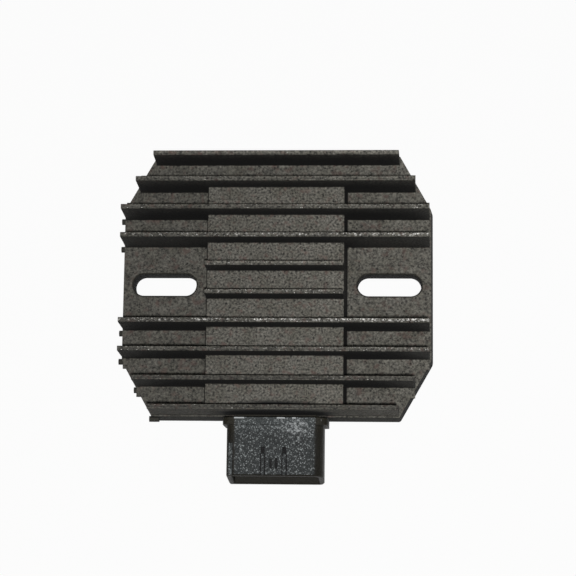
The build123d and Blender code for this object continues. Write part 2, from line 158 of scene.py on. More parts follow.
def plug(node, inputs):
    """Gives each named input of a node a value, or a link from a socket or another node.

    A node stands for the first of its outputs that is in use.
    """
    for socket, value in inputs.items():
        if isinstance(value, bpy.types.Node):
            value = next(output for output in value.outputs if output.enabled)
        if isinstance(value, bpy.types.NodeSocket):
            node.id_data.links.new(value, node.inputs[socket])
        else:
            node.inputs[socket].default_value = value


def add_node(tree, kind, inputs=None, **settings):
    """Adds a node with its settings and plugs in its inputs.

    A kind that names no family of nodes is a shader node, which geometry trees take as well.
    """
    node = tree.nodes.new(kind if "Node" in kind else "ShaderNode" + kind)
    for name, value in settings.items():
        setattr(node, name, value)
    plug(node, inputs or {})
    return node


def product(add, *factors):
    """Multiplies three or more values."""
    result = factors[0]
    for factor in factors[1:]:
        result = add("Math", {0: result, 1: factor}, operation="MULTIPLY")
    return result


def apart(add, value, middle):
    """How far a value lies from a middle, on either side."""
    offset = add("Math", {0: value, 1: middle}, operation="SUBTRACT")
    return add("Math", {0: offset}, operation="ABSOLUTE")


def around(add, place, middle_mm, reach_mm):
    """The place as seen from a middle, in shares of a reach along each axis."""
    middle = [part * MM for part in middle_mm]
    offset = add("VectorMath", {0: place, 1: middle}, operation="SUBTRACT")
    shares = [per_mm(part) for part in reach_mm]
    return add("VectorMath", {0: offset, 1: shares}, operation="MULTIPLY")


def true_facing(add):
    """The three parts of the direction in which the mesh itself faces."""
    normal = add("NewGeometry").outputs["True Normal"]
    return add("SeparateXYZ", {"Vector": normal}).outputs


def step_ramp(add, along, steps):
    """A ramp that jumps from one colour to the next at each of the given places."""
    node = add("ValToRGB", {"Fac": along})
    node.color_ramp.interpolation = "CONSTANT"
    stops = node.color_ramp.elements
    for number, (start, shade) in enumerate(steps):
        stop = stops[number] if number < 2 else stops.new(start)
        stop.position = start
        stop.color = (*shade, 1.0)
    return node


def start_material(name):
    """A fresh material, what adds a node to it, its shader and the piece's own coordinates."""
    material = bpy.data.materials.new(name)
    material.use_nodes = True
    add = partial(add_node, material.node_tree)
    shader = material.node_tree.nodes["Principled BSDF"]
    return material, add, shader, add("TexCoord").outputs["Object"]


def give_material(names, material):
    """Puts one material on each of the named CAD nodes."""
    for name in names:
        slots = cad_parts[name].data.materials
        slots.clear()
        slots.append(material)


def put(name, data):
    """A new object in the scene."""
    item = bpy.data.objects.new(name, data)
    bpy.context.scene.collection.objects.link(item)
    return item


def colour(name, description, code):
    return bpy.props.FloatVectorProperty(
        name=name, description=description, subtype="COLOR", size=4, min=0.0, max=1.0,
        default=linear(code),
    )


def length(name, description, millimetres):
    return bpy.props.FloatProperty(
        name=name, description=description, unit="LENGTH", subtype="DISTANCE", min=0.0,
        precision=5, default=millimetres * MM,
    )


def share(name, description, value):
    return bpy.props.FloatProperty(
        name=name, description=description, subtype="FACTOR", min=0.0, max=1.0, default=value,
    )


class CastingLook(bpy.types.PropertyGroup):
    """Colours and grain of the coated casting."""

    coat: colour("Coat", "Dark coat where it is clean", "#56544E")
    shade: colour("Shade", "Darker clouds in the coat", "#4A4841")
    # Painted shade: the plate's side walls are painted darker where shade falls on them.
    rim_shade: colour("Rim", "Thicker, darker coat round the plate's rim", "#24231D")
    tint: colour("Tint", "Faint reddish patches in the coat", "#57443E")
    # Painted shade: the pinholes are dark dots, with the shade inside them painted.
    pit_shade: colour("Pit", "Bottoms of the pinholes", "#151412")
    metal: colour("Bare metal", "Aluminium where the coat has worn off", "#DEDCD7")
    grain: length("Grain", "Size of one grain of the coated skin", 0.7)
    edge: length("Edge", "Radius at which sharp edges catch the light", 0.3)
    roughness: share("Roughness", "Roughness of the coat", 0.68)


class WearLook(bpy.types.PropertyGroup):
    """Bright nicks along the fin tips."""

    spacing: length("Spacing", "Distance between two possible nicks along a tip", 0.4)
    nick: length("Nick", "Length of a large nick", 0.45)
    amount: share("Amount", "Share of possible nicks that are there on the most worn fin", 0.5)
    seed: bpy.props.IntProperty(
        name="Seed", description="Changes the places of the nicks", default=7
    )


class ConnectorLook(bpy.types.PropertyGroup):
    """Colours and grain of the plug socket."""

    plastic: colour("Plastic", "Moulded body where it is clean", "#131109")
    # Painted light: faces that look up are painted lighter, where the light falls on them.
    lit_film: colour("Film", "Thin film of dust on what faces up", "#272A2A")
    # Light dust grains, whose bright specks are painted glints.
    dust: colour("Dust", "Light grains that show as sparkle", "#A3A8A8")
    # Real rubbed places, and the painted highlights on the flange's edge.
    scuff_and_highlight: colour("Scuff", "Whitish rubbed places", "#B9BCBD")
    grain: length("Grain", "Size of one grain of the moulded texture", 0.4)
    edge: length("Edge", "Radius at which sharp edges catch the light", 0.12)
    roughness: share("Roughness", "Roughness of the plastic", 0.56)
    corner: length("Corner", "Radius of the upper corners", 2.4)
    groove: length("Groove", "Width of the groove on each side of a guide rib", 0.36)
    flange_corner: length("Flange corner", "Radius of the flange's upper corners", 2.6)


class InsideLook(bpy.types.PropertyGroup):
    """Colours of the terminals, the resin and the parts cast into it."""

    tin: colour("Tin", "Plated blades", "#C6C3BB")
    resin: colour("Resin", "Cast epoxy in the back", "#17181A")
    epoxy: colour("Device epoxy", "Moulded bodies of the power devices", "#1B1C1E")
    sheet: colour("Sheet", "Soft insulating sheet", "#A9A9A0")
    zinc: colour("Zinc", "Plated screws", "#B4B5B0")
    laminate: colour("Laminate", "Circuit board", "#1E5A34")
    sleeve: colour("Sleeve", "Plastic sleeve of the capacitor", "#25303F")
    lacquer: colour("Lacquer", "Bodies of the resistors", "#B79A6B")
    bubble: length("Bubble", "Width of a large bubble in the resin", 1.1)
    bubble_seed: bpy.props.IntProperty(
        name="Bubble seed", description="Changes the places of the bubbles", default=3
    )


class StageLook(bpy.types.PropertyGroup):
    """Floor, lights and camera."""

    floor: colour("Floor", "Pale table top", "#B9B9B6")
    key_power: bpy.props.FloatProperty(
        name="Key", description="Power of the lamp overhead", unit="POWER", default=5.2
    )
    sky: share("Sky", "Strength of the even light all round", 0.12)
    lens: bpy.props.FloatProperty(
        name="Lens", description="Focal length of the camera in millimetres", default=112.5
    )


class REGULATOR_OT_casting(bpy.types.Operator):
    """Coat the casting and rub its fin tips bare"""

    bl_idname = "regulator.casting"
    bl_label = "Coat Casting"

    def execute(self, context):
        look = context.scene.casting_look
        give_material(["heatsink_casting"], dip_coated_die_casting(look))
        return {"FINISHED"}


class REGULATOR_OT_nicks(bpy.types.Operator):
    """Scatter bright nicks along the edges of the fin tips"""

    bl_idname = "regulator.nicks"
    bl_label = "Scatter Nicks"

    def execute(self, context):
        look = context.scene.wear_look
        bare = nicked_aluminium(context.scene.casting_look)
        piece = grow(tip_edge_lines(), nick_tree(), "fin_tip_nicks", {
            "Spacing": look.spacing, "Nick Length": look.nick, "Amount": look.amount,
            "Seed": look.seed, "Material": bare,
        })
        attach(piece, "root")
        return {"FINISHED"}


class REGULATOR_OT_connector(bpy.types.Operator):
    """Give the plug socket its moulded plastic"""

    bl_idname = "regulator.connector"
    bl_label = "Finish Plug Socket"

    def execute(self, context):
        look = context.scene.connector_look
        shell = rounded_housing(look)
        shell.data.materials.append(moulded_nylon(look))
        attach(shell, "root")
        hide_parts("connector_housing")
        return {"FINISHED"}


class REGULATOR_OT_inside(bpy.types.Operator):
    """Finish the blades and the parts that are cast into the back"""

    bl_idname = "regulator.inside"
    bl_label = "Finish Inside"

    def execute(self, context):
        look = context.scene.inside_look
        names = list(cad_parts)
        blades = [n for n in names if n.startswith("terminal_")]
        devices = [n for n in names if n.startswith(("thyristor_", "diode_"))]
        give_material(blades, tin_plated_brass(look))
        devices += ["control_transistor", "zener_diode"]
        # Transfer-moulded epoxy: black, fine-grained and half matt.
        epoxy = lumpy_body("transfer_moulded_epoxy", look.epoxy, 0.3, 0.3, 0.04, 0.45)
        # Aluminium can in a shrunk plastic sleeve: dark, glossy, slightly wavy.
        sleeve = lumpy_body("shrunk_plastic_sleeve", look.sleeve, 2.0, 0.15, 0.1, 0.25)
        # Film resistors under dipped lacquer: tan, softly glossy and a little lumpy.
        lacquer = lumpy_body("dipped_resistor_lacquer", look.lacquer, 0.7, 0.12, 0.08, 0.35)
        give_material(devices, epoxy)
        give_material(["reservoir_capacitor"], sleeve)
        give_material(["gate_resistors", "sense_resistor"], lacquer)
        give_material(["insulating_sheet"], filled_silicone(look))
        give_material(["device_screws"], zinc_plated_steel(look))
        give_material(["circuit_board"], masked_laminate(look))
        return {"FINISHED"}


class REGULATOR_OT_resin(bpy.types.Operator):
    """Finish the cast resin and set its bubbles"""

    bl_idname = "regulator.resin"
    bl_label = "Finish Resin"

    def execute(self, context):
        look = context.scene.inside_look
        resin = cast_epoxy(look)
        give_material(["potting_resin"], resin)
        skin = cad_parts["potting_resin"].data.copy()
        piece = grow(skin, bubble_tree(), "resin_bubbles", {
            "Face Height": RESIN_BOX[0][2], "Bubble Width": look.bubble,
            "Seed": look.bubble_seed, "Material": resin,
        })
        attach(piece, "root")
        return {"FINISHED"}


class REGULATOR_OT_stage(bpy.types.Operator):
    """Lay the floor, hang the lights and set the camera"""

    bl_idname = "regulator.stage"
    bl_label = "Set Stage"

    def execute(self, context):
        look = context.scene.stage_look
        lay_floor(look)
        hang_lights(look)
        set_camera(look)
        return {"FINISHED"}


def coat_colour(add, look, place, axes, grain):
    """Coat clouds, grain, red blush, pinholes painted with shade, and painted light to the right.
    """
    clouds = add("TexNoise", {
        "Vector": place, "Scale": per_mm(7.0), "Detail": 3.0, "Roughness": 0.6,
    })
    cloud_share = add("MapRange", {"Value": clouds, "From Min": 0.38, "From Max": 0.66})
    coat = add("Mix", {0: cloud_share, MIX_A: look.coat, MIX_B: look.shade}, data_type="RGBA")

    grain_light = add("MapRange", {
        "Value": grain, "From Min": 0.33, "From Max": 0.67, "To Min": 0.05, "To Max": 1.95,
    })
    # Painted light: the coat is painted paler towards the right, as if more light fell there.
    light_to_right = add("MapRange", {
        "Value": axes["X"], "From Min": -38.0 * MM, "From Max": 40.0 * MM, "To Min": 0.9,
        "To Max": 1.3,
    })
    grain_and_light_tone = add("Math", {0: grain_light, 1: light_to_right}, operation="MULTIPLY")
    grained = add("VectorMath", {0: coat, "Scale": grain_and_light_tone}, operation="SCALE")

    blush = add("TexNoise", {"Vector": place, "Scale": per_mm(2.2), "Detail": 2.0})
    blush_share = add("MapRange", {
        "Value": blush, "From Min": 0.55, "From Max": 0.72, "To Max": 0.6,
    })
    tinted = add("Mix", {0: blush_share, MIX_A: grained, MIX_B: look.tint}, data_type="RGBA")

    # Pinholes drawn as dark dots, the shade in them painted.
    pits = add("TexVoronoi", {"Vector": place, "Scale": per_mm(2.1)})
    pit_shade_share = add("MapRange", {
        "Value": pits, "From Min": 0.09, "From Max": 0.2, "To Min": 0.85, "To Max": 0.0,
    })
    return add("Mix", {0: pit_shade_share, MIX_A: tinted, MIX_B: look.pit_shade}, data_type="RGBA")


def painted_coat_shade(add, place, axes, upright):
    """Painted shade: between the fins, in every inner corner and on the wall over the socket."""
    shelter = add("AmbientOcclusion", {"Distance": 12.0 * MM}, samples=8)
    gap_shade = add("MapRange", {
        "Value": shelter.outputs["AO"], "From Min": 0.3, "From Max": 0.92, "To Min": 0.03,
        "To Max": 0.95,
    })
    # Painted shade is lighter on the far fins than the near ones, and on the last one's outer
    # face.
    inner = add("Math", {0: axes["Y"], 1: (PLATE_EDGE_MM + 0.4) * MM}, operation="GREATER_THAN")
    row_shade = add("MapRange", {
        "Value": axes["Y"], "From Min": 15.0 * MM, "From Max": 36.0 * MM, "To Min": 0.28,
    })
    face_shade = add("Mix", {0: inner, LOW: 0.75, HIGH: row_shade}, data_type="FLOAT")
    gap_shade_tone = add("Math", {0: gap_shade, 1: face_shade}, operation="MULTIPLY")
    gap_shade_mix = add("Mix", {0: upright, LOW: 1.0, HIGH: gap_shade_tone}, data_type="FLOAT")
    # Painted shade in every inner corner.
    corners = add("AmbientOcclusion", {"Distance": 0.9 * MM}, samples=8, only_local=True)
    corner_shade = add("MapRange", {
        "Value": corners.outputs["AO"], "From Min": 0.4, "From Max": 0.8, "To Min": 0.3,
    })
    # A shadow is painted on the wall over the plug socket.
    shadow_place = around(add, place, (0.0, PLATE_EDGE_MM, SHROUD_TOP_MM), SHADOW_REACH_MM)
    shadow_share = add("VectorMath", {0: shadow_place}, operation="LENGTH")
    socket_wall_shadow = add("MapRange", {
        "Value": shadow_share, "From Min": 0.75, "From Max": 1.1, "To Min": 0.02,
    })
    return product(add, gap_shade_mix, corner_shade, socket_wall_shadow)


def tip_wear(add, place, axes):
    """How far the flat of each tip is rubbed bare, how light its coat is, and its painted shade.

    Each fin has its own share of wear, and there is more of it towards the right.
    """
    row_end = (FIN_ROW_MIDDLE_MM + FIN_PITCH_MM * FIN_COUNT / 2) * MM
    fin_share = add("MapRange", {
        "Value": axes["Y"], "From Min": row_end,
        "From Max": row_end - FIN_PITCH_MM * FIN_COUNT * MM,
    })
    fins_along = add("Math", {0: fin_share, 1: float(FIN_COUNT)}, operation="MULTIPLY")
    across = add("Math", {0: fins_along}, operation="FRACT")
    # The near half of each rounded tip is painted darker, as shade where it turns from the light;
    # only the far half is rubbed.
    far_half = add("MapRange", {"Value": across, "From Min": 0.5, "From Max": 0.56, **FALLING})
    near_half_shade = add("Math", {0: far_half, 1: 0.75, 2: 0.4}, operation="MULTIPLY_ADD")
    # The tone is stored halved, because a ramp holds nothing above 1.
    wear_ramp = step_ramp(add, fin_share, [
        (number / FIN_COUNT, (wear, tone / 2, 0.0))
        for number, (wear, tone) in enumerate(zip(FIN_WEAR, FIN_TONE))
    ])
    fin_value = add("SeparateColor", {"Color": wear_ramp}).outputs
    first_fin = add("Math", {
        0: axes["Y"], 1: row_end - FIN_PITCH_MM * MM,
    }, operation="GREATER_THAN")
    tip_level = add("Math", {
        0: first_fin, 1: -FIRST_TIP_DROP_MM * MM, 2: TIP_HEIGHT,
    }, operation="MULTIPLY_ADD")
    below_tip = add("Math", {0: tip_level, 1: axes["Z"]}, operation="SUBTRACT")
    near_tip = add("MapRange", {
        "Value": below_tip, "From Min": 0.01 * MM, "From Max": 0.05 * MM, **FALLING,
    })
    scratches = add("TexNoise", {
        "Vector": place, "Scale": per_mm(0.8), "Detail": 4.0, "Roughness": 0.75,
    })
    side_share = add("MapRange", {
        "Value": axes["X"], "From Min": CASTING_BOX[0][0], "From Max": CASTING_BOX[1][0],
        "To Min": 0.65, "To Max": 1.15,
    })
    fin_wear = add("Math", {0: fin_value["Red"], 1: side_share}, operation="MULTIPLY")
    worn_level = add("Math", {0: fin_wear, 1: -0.18, 2: 0.69}, operation="MULTIPLY_ADD")
    worn = add("Math", {0: scratches, 1: worn_level}, operation="SUBTRACT")
    worn_share = add("MapRange", {"Value": worn, "From Max": 0.1})
    bare = product(add, worn_share, near_tip, far_half)

    # The coat on a tip is paler or darker than elsewhere, by a share for each fin, and the near
    # half of the tip carries painted shade.
    tip_tone = add("Math", {0: fin_value["Green"], 1: 2.0}, operation="MULTIPLY")
    tip_tone_and_shade = add("Math", {0: tip_tone, 1: near_half_shade}, operation="MULTIPLY")
    tip_mix = add("Mix", {0: near_tip, LOW: 1.0, HIGH: tip_tone_and_shade}, data_type="FLOAT")
    return bare, tip_mix


def dip_coated_die_casting(look):
    """Die-cast aluminium, dipped in a thin dark coat and baked.

    The coat follows the grainy skin of the casting, so it looks matt and fine-grained, with
    pinholes, dull clouds and a faint red cast, and it is rubbed to bright metal on the tips.
    """
    material, add, shader, place = start_material("dip_coated_die_casting")
    axes = add("SeparateXYZ", {"Vector": place}).outputs
    # The real grain is about 0.15 mm; it is drawn four to five times as coarse, or it would not
    # show.
    grain = add("TexNoise", {
        "Vector": place, "Scale": 1.0 / look.grain, "Detail": 4.0, "Roughness": 0.65,
    })
    pitted = coat_colour(add, look, place, axes, grain)

    # Painted shade: the plate's side walls below its top are painted darker.
    facing = true_facing(add)
    level = add("Math", {0: facing["Z"]}, operation="ABSOLUTE")
    upright = add("MapRange", {"Value": level, "From Min": 0.35, "From Max": 0.8, **FALLING})
    low = add("MapRange", {
        "Value": axes["Z"], "From Min": (PLATE_TOP_MM - 0.3) * MM,
        "From Max": (PLATE_TOP_MM + 0.1) * MM, "To Min": 0.9, "To Max": 0.0,
    })
    not_below = add("MapRange", {"Value": facing["Z"], "From Min": -0.8, "From Max": -0.4})
    rim_shade_share = add("Math", {0: not_below, 1: low}, operation="MULTIPLY")
    rim_shaded = add("Mix", {0: rim_shade_share, MIX_A: pitted, MIX_B: look.rim_shade}, data_type="RGBA")

    # Painted shade between the fins, in the corners and over the plug socket.
    coat_shade = painted_coat_shade(add, place, axes, upright)
    shaded_coat = add("VectorMath", {0: rim_shaded, "Scale": coat_shade}, operation="SCALE")

    bare, tip_tone_and_shade = tip_wear(add, place, axes)
    tipped = add("VectorMath", {0: shaded_coat, "Scale": tip_tone_and_shade}, operation="SCALE")
    final = add("Mix", {0: bare, MIX_A: tipped, MIX_B: look.metal}, data_type="RGBA")
    grain_rough = add("MapRange", {
        "Value": grain, "From Min": 0.3, "From Max": 0.7, "To Min": look.roughness - 0.1,
        "To Max": look.roughness + 0.1,
    })
    coat_rough = add("Math", {
        0: upright, 1: 0.3, 2: grain_rough,
    }, operation="MULTIPLY_ADD", use_clamp=True)
    rough = add("Math", {0: bare, 1: -0.25, 2: coat_rough}, operation="MULTIPLY_ADD")
    edges = add("Bevel", {"Radius": look.edge}, samples=4)
    skin = add("Bump", {"Height": grain, "Distance": 0.4 * MM, "Normal": edges})
    peel = add("TexNoise", {"Vector": place, "Scale": per_mm(1.8), "Detail": 2.0})
    surface = add("Bump", {"Height": peel, "Distance": 0.2 * MM, "Strength": 0.6, "Normal": skin})
    plug(shader, {
        "Base Color": final, "Metallic": bare, "Specular IOR Level": 0.3, "Roughness": rough,
        "Normal": surface,
    })
    return material


def nicked_aluminium(look):
    """Die-cast aluminium, freshly knocked: bright, a little rough and uneven in tone."""
    material, add, shader, place = start_material("nicked_aluminium")
    tone = add("TexNoise", {"Vector": place, "Scale": per_mm(0.8)})
    mixed = add("Mix", {0: tone, MIX_A: look.metal, MIX_B: look.coat}, data_type="RGBA")
    plug(shader, {"Base Color": mixed, "Metallic": 1.0, "Roughness": 0.5})
    return material


def socket_scuffs_and_highlights(add, place, axes, high):
    """Whitish rubbed places right of the lock ramp, and painted highlights on the flange's edge.
    """
    patch = add("TexGradient", {
        "Vector": around(add, place, SCUFF_PLACE_MM, SCUFF_REACH_MM),
    }, gradient_type="SPHERICAL")
    scratches = add("TexNoise", {
        "Vector": place, "Scale": per_mm(1.1), "Detail": 4.0, "Roughness": 0.75,
    })
    rubbed = add("Math", {
        0: patch.outputs["Fac"], 1: 0.22, 2: scratches,
    }, operation="MULTIPLY_ADD")
    rubbed_share = add("MapRange", {
        "Value": rubbed, "From Min": 0.64, "From Max": 0.76, "To Max": 0.55,
    })
    at_edge = add("MapRange", {
        "Value": axes["Y"], "From Min": (FLANGE_REAR_MM - 0.5) * MM,
        "From Max": (FLANGE_REAR_MM - 0.3) * MM,
    })
    along = add("MapRange", {
        "Value": axes["X"], "From Min": SHROUD_LEFT_MM * MM, "From Max": SHROUD_RIGHT_MM * MM,
    })
    # Every second stretch between two of these places is a painted highlight.
    edge_highlight = step_ramp(add, along, [
        ((start - SHROUD_LEFT_MM) / (SHROUD_RIGHT_MM - SHROUD_LEFT_MM), (number % 2 * 0.8,) * 3)
        for number, start in enumerate(EDGE_HIGHLIGHTS_MM)
    ])
    edge_highlight_share = add("Math", {0: at_edge, 1: edge_highlight}, operation="MULTIPLY")
    bright = add("Math", {0: rubbed_share, 1: edge_highlight_share}, operation="MAXIMUM")
    return add("Math", {0: bright, 1: high}, operation="MULTIPLY")


def socket_painted_shade(add, axes, level, high, before_flange):
    """Painted shade in the inner corners, the core holes, the grooves and beside the lock ramp."""
    # Painted shade in the inner corners.
    corners = add("AmbientOcclusion", {"Distance": 0.32 * MM}, samples=8, only_local=True)
    corner_shade = add("MapRange", {
        "Value": corners.outputs["AO"], "From Min": 0.5, "From Max": 0.85, "To Min": 0.03,
    })
    # The core holes and the grooves beside the ribs are painted dark as shade.
    not_deep = add("Math", {0: axes["Z"], 1: (SHROUD_TOP_MM - 1.5) * MM}, operation="GREATER_THAN")
    in_hole = add("Math", {0: level, 1: high}, operation="SUBTRACT", use_clamp=True)
    shaded_hole = add("Math", {0: in_hole, 1: not_deep}, operation="MULTIPLY")
    hole_shade = add("Math", {0: shaded_hole, 1: -0.97, 2: 1.0}, operation="MULTIPLY_ADD")
    # Both long edges of the lock ramp, between the two guide ribs, are painted dark as shadow too.
    from_lock = apart(add, axes["X"], LOCK_RAMP_MIDDLE_MM * MM)
    ramp_edge_shade = add("MapRange", {
        "Value": from_lock, "From Min": 0.4 * MM, "From Max": 0.6 * MM, "To Min": 1.0,
        "To Max": 0.04,
    })
    near_lock = add("Math", {
        0: from_lock, 1: (LOCK_RAMP_HALF_MM + 0.1) * MM,
    }, operation="LESS_THAN")
    raised = add("Math", {0: axes["Z"], 1: (SHROUD_TOP_MM + 0.1) * MM}, operation="GREATER_THAN")
    on_ramp = product(add, near_lock, raised, before_flange)
    ramp_shade = add("Mix", {0: on_ramp, LOW: 1.0, HIGH: ramp_edge_shade}, data_type="FLOAT")
    return product(add, corner_shade, hole_shade, ramp_shade)


def moulded_nylon(look):
    """Glass-filled nylon 66, injection moulded in a spark-eroded tool.

    Nearly black with a blue cast, a fine even grain and whitish rubbed places; the light on its
    top, its glints and the highlights on the flange's edge are painted.
    """
    material, add, shader, place = start_material("moulded_glass_filled_nylon")
    # The real texture is about 0.1 mm; it is drawn coarser so that it shows.
    grain = add("TexNoise", {
        "Vector": place, "Scale": 1.0 / look.grain, "Detail": 4.0, "Roughness": 0.7,
    })
    tone = add("MapRange", {
        "Value": grain, "From Min": 0.3, "From Max": 0.7, "To Min": 0.2, "To Max": 1.8,
    })
    # Painted light: the top between the rounded sides, and the edge rib, are painted lighter
    # where light falls on them.
    facing = true_facing(add)
    level = add("MapRange", {"Value": facing["Z"], "From Min": 0.9, "From Max": 0.985})
    axes = add("SeparateXYZ", {"Vector": place}).outputs
    high = add("MapRange", {
        "Value": axes["Z"], "From Min": (SHROUD_TOP_MM - 0.25) * MM,
        "From Max": (SHROUD_TOP_MM - 0.05) * MM,
    })
    from_middle = apart(add, axes["X"], (SHROUD_LEFT_MM + SHROUD_RIGHT_MM) / 2 * MM)
    between = add("MapRange", {
        "Value": from_middle, "From Min": LIT_FILM_EDGE_MM[0] * MM, "From Max": LIT_FILM_EDGE_MM[1] * MM,
        **FALLING,
    })
    on_rib = add("Math", {0: axes["Z"], 1: (SHROUD_TOP_MM + 0.15) * MM}, operation="GREATER_THAN")
    before_flange = add("Math", {
        0: axes["Y"], 1: (FLANGE_FRONT_MM - 1.0) * MM,
    }, operation="LESS_THAN")
    rib_lit_film = add("Math", {0: on_rib, 1: before_flange}, operation="MULTIPLY")
    lit_places = add("Math", {0: between, 1: rib_lit_film}, operation="MAXIMUM")
    lit_film_share = product(add, level, high, lit_places)
    lit_filmed = add("Mix", {0: lit_film_share, MIX_A: look.plastic, MIX_B: look.lit_film}, data_type="RGBA")
    # A painted sheen brightens the top towards the flange.
    flange_sheen = add("MapRange", {
        "Value": axes["Y"], "From Min": SHEEN_START_MM * MM, "From Max": FLANGE_FRONT_MM * MM,
        "To Min": 1.0, "To Max": 1.7,
    })
    lit_film_tone = add("Math", {0: tone, 1: flange_sheen}, operation="MULTIPLY")
    body = add("VectorMath", {0: lit_filmed, "Scale": lit_film_tone}, operation="SCALE")
    # Each cell of this pattern is one grain that is brighter or darker than the next; the bright
    # grains on the top are painted glints.
    glint_cells = add("TexVoronoi", {"Vector": place, "Scale": per_mm(0.3)})
    cell = add("SeparateColor", {"Color": glint_cells.outputs["Color"]}).outputs
    glint_speck = add("MapRange", {
        "Value": cell["Red"], "From Min": 0.78, "From Max": 1.0, "To Max": 0.62,
    })
    glint_share = add("Math", {0: glint_speck, 1: lit_film_share}, operation="MULTIPLY")
    dusted_and_glinting = add("Mix", {0: glint_share, MIX_A: body, MIX_B: look.dust}, data_type="RGBA")

    # Rubbed places right of the lock ramp, and painted highlights on the flange's edge.
    scuff_and_highlight_share = socket_scuffs_and_highlights(add, place, axes, high)
    final = add("Mix", {0: scuff_and_highlight_share, MIX_A: dusted_and_glinting, MIX_B: look.scuff_and_highlight}, data_type="RGBA")
    # Painted shade in the corners, core holes, grooves and beside the lock ramp.
    light = socket_painted_shade(add, axes, level, high, before_flange)
    shaded = add("VectorMath", {0: final, "Scale": light}, operation="SCALE")
    edges = add("Bevel", {"Radius": look.edge}, samples=4)
    surface = add("Bump", {"Height": grain, "Distance": 0.22 * MM, "Normal": edges})
    plug(shader, {
        "Base Color": shaded, "Normal": surface, "Roughness": look.roughness,
        "Specular IOR Level": 0.22,
    })
    return material


def tin_plated_brass(look):
    """Brass strip, stamped and tin plated: satin, with faint draw marks along the blade."""
    material, add, shader, place = start_material("tin_plated_brass")
    marks_place = add("Mapping", {
        "Vector": place, "Scale": (per_mm(0.35), per_mm(6.0), per_mm(0.35)),
    })
    marks = add("TexNoise", {"Vector": marks_place, "Scale": 1.0, "Detail": 3.0})
    dull = add("VectorMath", {0: look.tin[:3], "Scale": 0.72}, operation="SCALE")
    tone = add("Mix", {0: marks, MIX_A: look.tin, MIX_B: dull}, data_type="RGBA")
    rough = add("MapRange", {"Value": marks, "To Min": 0.22, "To Max": 0.42})
    plug(shader, {"Base Color": tone, "Roughness": rough, "Metallic": 1.0})
    return material


def cast_epoxy(look):
    """Black two-part epoxy, poured and cured: smooth with slow waves, dust and a soft gloss."""
    material, add, shader, place = start_material("cast_epoxy")
    dust = add("TexNoise", {
        "Vector": place, "Scale": per_mm(0.8), "Detail": 5.0, "Roughness": 0.75,
    })
    dust_tone = add("MapRange", {
        "Value": dust, "From Min": 0.35, "From Max": 0.75, "To Min": 0.8, "To Max": 2.4,
    })
    tone = add("VectorMath", {0: look.resin[:3], "Scale": dust_tone}, operation="SCALE")
    waves = add("TexNoise", {"Vector": place, "Scale": per_mm(9.0), "Detail": 1.0})
    surface = add("Bump", {"Height": waves, "Distance": 0.9 * MM, "Strength": 0.5})
    rough = add("MapRange", {
        "Value": dust, "From Min": 0.3, "From Max": 0.7, "To Min": 0.2, "To Max": 0.38,
    })
    plug(shader, {"Base Color": tone, "Roughness": rough, "Normal": surface})
    return material


def lumpy_body(name, tint, lump_mm, spread, relief_mm, roughness):
    """A moulded or dipped body, uneven by one fine noise in its tone and its surface."""
    material, add, shader, place = start_material(name)
    lumps = add("TexNoise", {"Vector": place, "Scale": per_mm(lump_mm)})
    tone = add("MapRange", {"Value": lumps, "To Min": 1.0 - spread, "To Max": 1.0 + spread})
    body = add("VectorMath", {0: tint[:3], "Scale": tone}, operation="SCALE")
    surface = add("Bump", {"Height": lumps, "Distance": relief_mm * MM})
    plug(shader, {"Base Color": body, "Normal": surface, "Roughness": roughness})
    return material


def filled_silicone(look):
    """Silicone rubber filled with white oxide and calendered: pale, matt, with a fine weave."""
    material, add, shader, place = start_material("filled_silicone_sheet")
    # Twenty waves fill about 6.3 times the scale, so one band is 1.9 mm.
    weave = add("TexWave", {
        "Vector": place, "Scale": per_mm(6.0), "Distortion": 1.5,
    }, bands_direction="X")
    tone = add("MapRange", {"Value": weave.outputs["Fac"], "To Min": 0.85, "To Max": 1.1})
    body = add("VectorMath", {0: look.sheet[:3], "Scale": tone}, operation="SCALE")
    plug(shader, {"Base Color": body, "Roughness": 0.8})
    return material


def zinc_plated_steel(look):
    """Steel screws, zinc plated and passivated: grey, satin, with a cloudy tone."""
    material, add, shader, place = start_material("zinc_plated_steel")
    clouds = add("TexNoise", {"Vector": place, "Scale": per_mm(1.2)})
    rough = add("MapRange", {"Value": clouds, "To Min": 0.28, "To Max": 0.5})
    tone = add("MapRange", {"Value": clouds, "To Min": 0.672, "To Max": 1.2})
    body = add("VectorMath", {0: look.zinc[:3], "Scale": tone}, operation="SCALE")
    plug(shader, {"Base Color": body, "Roughness": rough, "Metallic": 1.0})
    return material


def masked_laminate(look):
    """Glass-epoxy board under solder mask: glossy green with the weave showing through."""
    material, add, shader, place = start_material("masked_glass_epoxy")
    # One brick is half as wide as the scale, so a crossing of the weave is 0.5 mm.
    weave = add("TexBrick", {
        "Vector": place, "Scale": per_mm(1.0), "Color1": (0.9, 0.9, 0.9, 1.0),
        "Color2": (1.0, 1.0, 1.0, 1.0), "Mortar": (0.75, 0.75, 0.75, 1.0),
    })
    body = add("Mix", {
        0: 1.0, MIX_A: look.laminate, MIX_B: weave,
    }, data_type="RGBA", blend_type="MULTIPLY")
    plug(shader, {"Base Color": body, "Roughness": 0.3})
    return material


